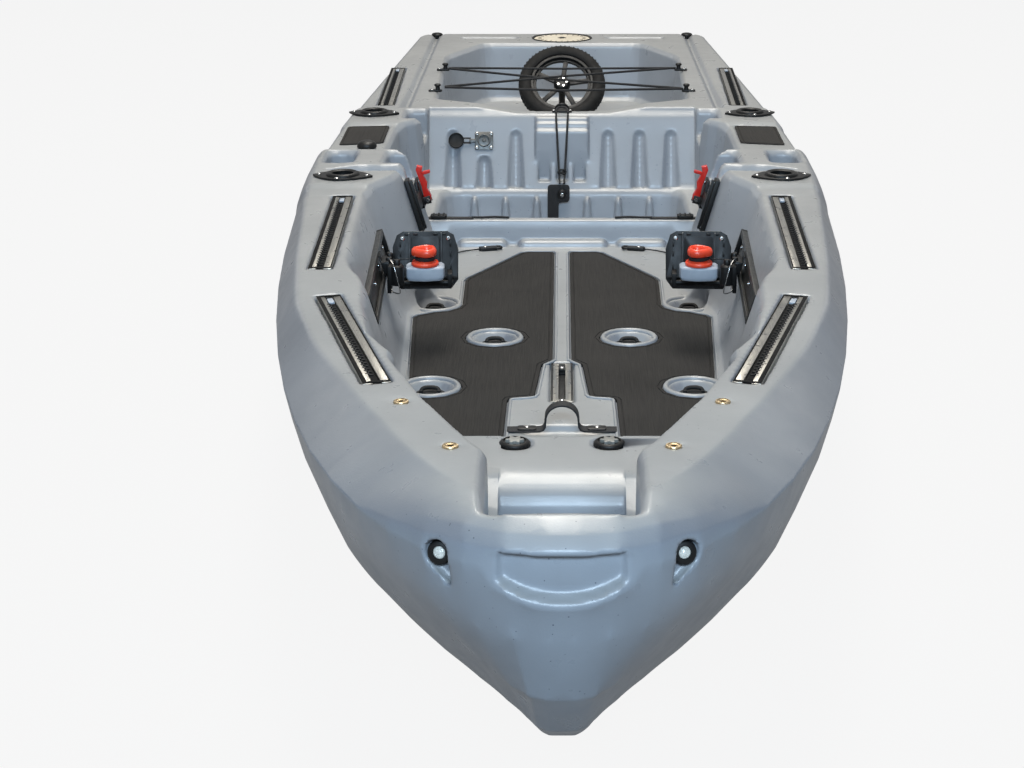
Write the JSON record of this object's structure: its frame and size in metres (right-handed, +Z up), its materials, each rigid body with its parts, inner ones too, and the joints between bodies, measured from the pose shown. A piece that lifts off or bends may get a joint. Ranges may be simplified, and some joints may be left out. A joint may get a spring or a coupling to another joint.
{
  "type": "fishing kayak",
  "caption": "Sit-on-top fishing kayak hull with open wells, gear tracks, rod holders, sliding foot braces, latches, bungee and spare wheel.",
  "frame": {"origin": "centre of the bounding box at the level of the ground under the keel", "axes": "+Z up, +Y to the stern, +X to the right in the picture"},
  "size_m": [1.0396, 3.81, 0.4222],
  "materials": {
    "hull": "rotomoulded blue-grey polyethylene with fine darker flecks",
    "foam_pad": "matt brushed closed-cell foam",
    "alloy_track": "satin anodised",
    "black_plastic": "moulded, slightly glossy",
    "black_rubber": "matt",
    "light_lens": "clear domed lens in a dark ring",
    "brass": "turned",
    "grey_bracket": "smooth",
    "orange_plastic": "smooth",
    "red_plastic": "smooth",
    "alloy_socket": "bright plated",
    "black_webbing": "woven webbing",
    "black_cord": "braided cord",
    "cream_plate": "printed plain plate with a ring of ticks"
  },
  "bodies": {
    "boat": {"hull": "hull", "floor_pad_right": "foam_pad", "floor_pad_left": "foam_pad", "deck_pad_right": "foam_pad", "deck_pad_left": "foam_pad", "gear_track_bow_right": "alloy_track", "gear_track_bow_left": "alloy_track", "gear_track_mid_right": "alloy_track", "gear_track_mid_left": "alloy_track", "gear_track_stern_right": "alloy_track", "gear_track_stern_left": "alloy_track", "gear_track_floor": "alloy_track", "rod_holder_mid_right": "black_plastic", "rod_holder_mid_left": "black_plastic", "rod_holder_aft_right": "black_plastic", "rod_holder_aft_left": "black_plastic", "bow_light_right": "light_lens", "bow_light_left": "light_lens", "deck_insert_rear_right": "brass", "deck_insert_rear_left": "brass", "deck_insert_front_right": "brass", "deck_insert_front_left": "brass", "foot_rail_right": "alloy_track", "foot_rail_left": "alloy_track", "latch_base_right": "black_plastic", "latch_base_left": "black_plastic", "power_socket": "alloy_socket", "pull_strap": "black_webbing", "rim_strap_right": "black_webbing", "rim_strap_left": "black_webbing", "tie_padeye": "black_plastic", "tie_cord": "black_cord", "tie_strap": "black_webbing", "bungee_cord": "black_cord", "wheel_tyre": "black_rubber", "wheel_rim": "black_plastic", "stern_plate": "cream_plate", "stern_knob_right": "black_plastic", "stern_knob_left": "black_plastic", "deck_knob": "black_plastic"},
    "scupper_plug_mid_right": {"scupper_plug_mid_right": "black_rubber"},
    "scupper_plug_mid_left": {"scupper_plug_mid_left": "black_rubber"},
    "scupper_plug_bow_right": {"scupper_plug_bow_right": "black_rubber"},
    "scupper_plug_bow_left": {"scupper_plug_bow_left": "black_rubber"},
    "scupper_plug_aft_right": {"scupper_plug_aft_right": "black_rubber"},
    "scupper_plug_aft_left": {"scupper_plug_aft_left": "black_rubber"},
    "bow_plug_right": {"bow_plug_right": "black_plastic"},
    "bow_plug_left": {"bow_plug_left": "black_plastic"},
    "brace_right": {"brace_carriage_right": "black_plastic"},
    "pedal_right": {"foot_pedal_right": "black_plastic", "spool_bracket_right": "grey_bracket"},
    "spool_right": {"line_spool_right": "orange_plastic"},
    "latch_right": {"latch_lever_right": "red_plastic"},
    "brace_left": {"brace_carriage_left": "black_plastic"},
    "pedal_left": {"foot_pedal_left": "black_plastic", "spool_bracket_left": "grey_bracket"},
    "spool_left": {"line_spool_left": "orange_plastic"},
    "latch_left": {"latch_lever_left": "red_plastic"},
    "socket_cap": {"socket_cap": "black_rubber"}
  },
  "joints": [
    {"name": "scupper_plug_mid_right_lift", "type": "slide", "parent": "boat", "child": "scupper_plug_mid_right", "axis": [0, 0, 1], "range_m": [0, 0.06]},
    {"name": "scupper_plug_mid_left_lift", "type": "slide", "parent": "boat", "child": "scupper_plug_mid_left", "axis": [0, 0, 1], "range_m": [0, 0.06]},
    {"name": "scupper_plug_bow_right_lift", "type": "slide", "parent": "boat", "child": "scupper_plug_bow_right", "axis": [0, 0, 1], "range_m": [0, 0.06]},
    {"name": "scupper_plug_bow_left_lift", "type": "slide", "parent": "boat", "child": "scupper_plug_bow_left", "axis": [0, 0, 1], "range_m": [0, 0.06]},
    {"name": "scupper_plug_aft_right_lift", "type": "slide", "parent": "boat", "child": "scupper_plug_aft_right", "axis": [0, 0, 1], "range_m": [0, 0.06]},
    {"name": "scupper_plug_aft_left_lift", "type": "slide", "parent": "boat", "child": "scupper_plug_aft_left", "axis": [0, 0, 1], "range_m": [0, 0.06]},
    {"name": "bow_plug_right_turn", "type": "hinge", "parent": "boat", "child": "bow_plug_right", "pos_m": [0.066, -1.229, 0.25], "axis": [0, 0, 1], "range_deg": [0, 90]},
    {"name": "bow_plug_left_turn", "type": "hinge", "parent": "boat", "child": "bow_plug_left", "pos_m": [-0.066, -1.229, 0.25], "axis": [0, 0, 1], "range_deg": [0, 90]},
    {"name": "brace_slide_right", "type": "slide", "parent": "boat", "child": "brace_right", "axis": [0.046, 0.9989, 0], "range_m": [-0.2, 0.1]},
    {"name": "pedal_tilt_right", "type": "hinge", "parent": "brace_right", "child": "pedal_right", "pos_m": [0.27672, -0.4353, 0.268], "axis": [0.9989, -0.046, 0], "range_deg": [-15, 20]},
    {"name": "spool_turn_right", "type": "hinge", "parent": "pedal_right", "child": "spool_right", "pos_m": [0.24806, -0.43799, 0.3], "axis": [0, 0, 1], "continuous": true},
    {"name": "latch_turn_right", "type": "hinge", "parent": "boat", "child": "latch_right", "pos_m": [0.27743, 0.066, 0.29742], "axis": [0, -1, 0], "range_deg": [0, 65]},
    {"name": "brace_slide_left", "type": "slide", "parent": "boat", "child": "brace_left", "axis": [-0.046, 0.9989, 0], "range_m": [-0.2, 0.1]},
    {"name": "pedal_tilt_left", "type": "hinge", "parent": "brace_left", "child": "pedal_left", "pos_m": [-0.27672, -0.4353, 0.268], "axis": [0.9989, 0.046, 0], "range_deg": [-15, 20]},
    {"name": "spool_turn_left", "type": "hinge", "parent": "pedal_left", "child": "spool_left", "pos_m": [-0.24806, -0.43799, 0.3], "axis": [0, 0, 1], "continuous": true},
    {"name": "latch_turn_left", "type": "hinge", "parent": "boat", "child": "latch_left", "pos_m": [-0.27743, 0.066, 0.29742], "axis": [0, 1, 0], "range_deg": [0, 65]},
    {"name": "socket_cap_fold", "type": "hinge", "parent": "boat", "child": "socket_cap", "pos_m": [-0.219, 0.63755, 0.30597], "axis": [0, 0.4304, 0.9026], "range_deg": [0, 180]}
  ]
}
